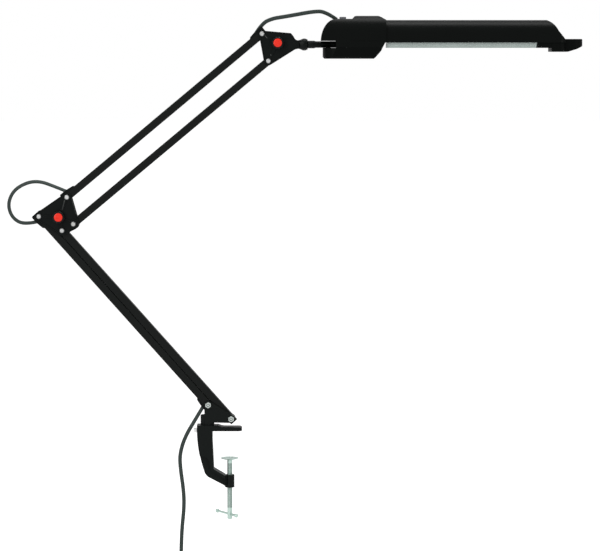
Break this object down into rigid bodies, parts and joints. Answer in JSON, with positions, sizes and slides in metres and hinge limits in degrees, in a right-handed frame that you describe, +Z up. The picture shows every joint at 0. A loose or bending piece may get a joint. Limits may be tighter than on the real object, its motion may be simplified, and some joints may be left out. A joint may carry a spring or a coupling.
{
  "type": "desk lamp",
  "caption": "Clamp-on desk lamp with two spring-balanced parallelogram arms, a swivelling fluorescent head and a mains lead.",
  "frame": {"origin": "the underside of the clamp's top jaw, on the axis of the clamp screw", "axes": "+X from the clamp towards the head, +Z up, -Y towards the side with the knobs; the desk's top lies on the plane Z = 0 under the jaw"},
  "size_m": [0.904, 0.072, 1.0308],
  "materials": {
    "black_paint": "satin",
    "black_plastic": "fine grain",
    "bearing_plastic": "plain",
    "red_plastic": "gloss",
    "grey_plastic": "plain",
    "white_plastic": "plain",
    "zinc": "zinc plated",
    "bright_steel": "nickel plated",
    "spring_steel": "oiled",
    "ballast_iron": "dipped",
    "reflector_sheet": "bright",
    "clear_diffuser": "prismatic",
    "lamp_glass": "coated white",
    "lead_rubber": "smooth"
  },
  "bodies": {
    "clamp": {"clamp_frame": "black_paint"},
    "locking_screw": {"lock_screw": "bright_steel"},
    "pad": {"clamp_pad": "zinc"},
    "screw": {"clamp_screw": "zinc"},
    "tommy": {"tommy_bar": "zinc"},
    "base": {"base_bracket": "black_paint", "base_spigot": "bright_steel", "base_bolts": "zinc", "base_nuts": "zinc", "lead_tail": "lead_rubber", "lead_coil": "lead_rubber", "coil_tie": "black_plastic", "plug": "lead_rubber", "plug_pins": "bright_steel"},
    "lower_rear_bar": {"lower_rear_tube": "black_paint", "base_cable_cap": "black_plastic", "knee_lower_cable_cap": "black_plastic"},
    "lower_front_bar": {"lower_front_tube": "black_paint", "lower_front_bushes": "bearing_plastic", "lower_spring": "spring_steel", "lower_spring_strap": "spring_steel", "lower_spring_pin": "bright_steel"},
    "knee": {"knee_plate_front": "black_plastic", "knee_plate_rear": "black_plastic", "knee_pivots": "bright_steel", "knee_spacer": "bright_steel", "knee_knob_bolt": "zinc", "knee_lead": "lead_rubber"},
    "knee_knob_body": {"knee_knob": "black_plastic", "knee_knob_cap": "red_plastic"},
    "upper_top_bar": {"upper_top_tube": "black_paint", "knee_upper_cable_cap": "black_plastic", "elbow_cable_cap": "black_plastic"},
    "upper_bottom_bar": {"upper_bottom_tube": "black_paint", "upper_bottom_bushes": "bearing_plastic", "upper_spring": "spring_steel", "upper_spring_strap": "spring_steel", "upper_spring_pin": "bright_steel"},
    "elbow": {"elbow_plate_front": "black_plastic", "elbow_plate_rear": "black_plastic", "elbow_pivots": "bright_steel", "elbow_knob_bolt": "zinc", "head_lead": "lead_rubber"},
    "elbow_knob_body": {"elbow_knob": "black_plastic", "elbow_knob_cap": "red_plastic"},
    "neck": {"neck_tang": "black_paint", "neck_ferrule": "black_plastic", "head_spindle": "black_paint"},
    "head": {"head_housing": "black_plastic", "ballast_cover": "black_plastic", "shade": "black_plastic", "front_grip": "black_plastic", "reflector": "reflector_sheet", "diffuser": "clear_diffuser", "lamp": "lamp_glass", "lamp_holder": "white_plastic", "ballast": "ballast_iron", "swivel_pin": "bright_steel", "head_screws": "zinc"},
    "switch": {"switch_button": "grey_plastic"}
  },
  "joints": [
    {"name": "lock_screw_turn", "type": "hinge", "parent": "clamp", "child": "locking_screw", "pos_m": [-0.054, 0, 0.0002], "axis": [1, 0, 0], "range_deg": [-360, 0]},
    {"name": "clamp_travel", "type": "slide", "parent": "clamp", "child": "pad", "axis": [0, 0, 1], "range_m": [-0.022, 0.038]},
    {"name": "clamp_screw_turn", "type": "hinge", "parent": "pad", "child": "screw", "pos_m": [0, 0, -0.09], "axis": [0, 0, 1], "continuous": true},
    {"name": "tommy_slide", "type": "slide", "parent": "screw", "child": "tommy", "axis": [0.5592, -0.829, 0], "range_m": [-0.01, 0.028]},
    {"name": "base_swivel", "type": "hinge", "parent": "clamp", "child": "base", "pos_m": [-0.0394, 0, 0], "axis": [0, 0, 1], "range_deg": [-150, 150]},
    {"name": "lower_arm", "type": "hinge", "parent": "base", "child": "lower_rear_bar", "pos_m": [-0.0337, 0, 0.0414], "axis": [0, 1, 0], "range_deg": [0, 90], "deforming": ["lead_tail"]},
    {"name": "lower_link", "type": "hinge", "parent": "base", "child": "lower_front_bar", "pos_m": [0.00254, 0, 0.01919], "axis": [0, 1, 0], "range_deg": [-2, 92]},
    {"name": "knee_turn", "type": "hinge", "parent": "lower_rear_bar", "child": "knee", "pos_m": [-0.29927, 0, 0.34052], "axis": [0, 1, 0], "range_deg": [-92, 2], "deforming": ["knee_lead"]},
    {"name": "upper_arm", "type": "hinge", "parent": "knee", "child": "upper_top_bar", "pos_m": [-0.25507, 0, 0.37082], "axis": [0, 1, 0], "range_deg": [-43, 80], "deforming": ["knee_lead"]},
    {"name": "upper_link", "type": "hinge", "parent": "knee", "child": "upper_bottom_bar", "pos_m": [-0.24509, 0, 0.32858], "axis": [0, 1, 0], "range_deg": [-45, 82]},
    {"name": "elbow_turn", "type": "hinge", "parent": "upper_top_bar", "child": "elbow", "pos_m": [0.05224, 0, 0.62686], "axis": [0, 1, 0], "range_deg": [-82, 45], "deforming": ["head_lead"]},
    {"name": "knee_knob_turn", "type": "hinge", "parent": "knee", "child": "knee_knob_body", "pos_m": [-0.26797, 0, 0.33962], "axis": [0, 1, 0], "range_deg": [-180, 180]},
    {"name": "elbow_knob_turn", "type": "hinge", "parent": "elbow", "child": "elbow_knob_body", "pos_m": [0.07694, 0, 0.61286], "axis": [0, 1, 0], "range_deg": [-180, 180]},
    {"name": "head_tilt", "type": "hinge", "parent": "elbow", "child": "neck", "pos_m": [0.07694, 0, 0.61286], "axis": [0, 1, 0], "range_deg": [-60, 80], "deforming": ["head_lead"]},
    {"name": "head_swivel", "type": "hinge", "parent": "neck", "child": "head", "pos_m": [0.1765, 0, 0.6102], "axis": [0, 0, 1], "range_deg": [-60, 60], "deforming": ["head_lead"]},
    {"name": "switch_press", "type": "slide", "parent": "head", "child": "switch", "axis": [0, 0, 1], "range_m": [-0.0025, 0], "stiffness_N_per_m": 800, "springref_m": 0.001}
  ],
  "couplings": [
    {"joint": "lower_link", "follows": "lower_arm", "ratio": 1},
    {"joint": "knee_turn", "follows": "lower_arm", "ratio": -1},
    {"joint": "upper_link", "follows": "upper_arm", "ratio": 1},
    {"joint": "elbow_turn", "follows": "upper_arm", "ratio": -1}
  ]
}
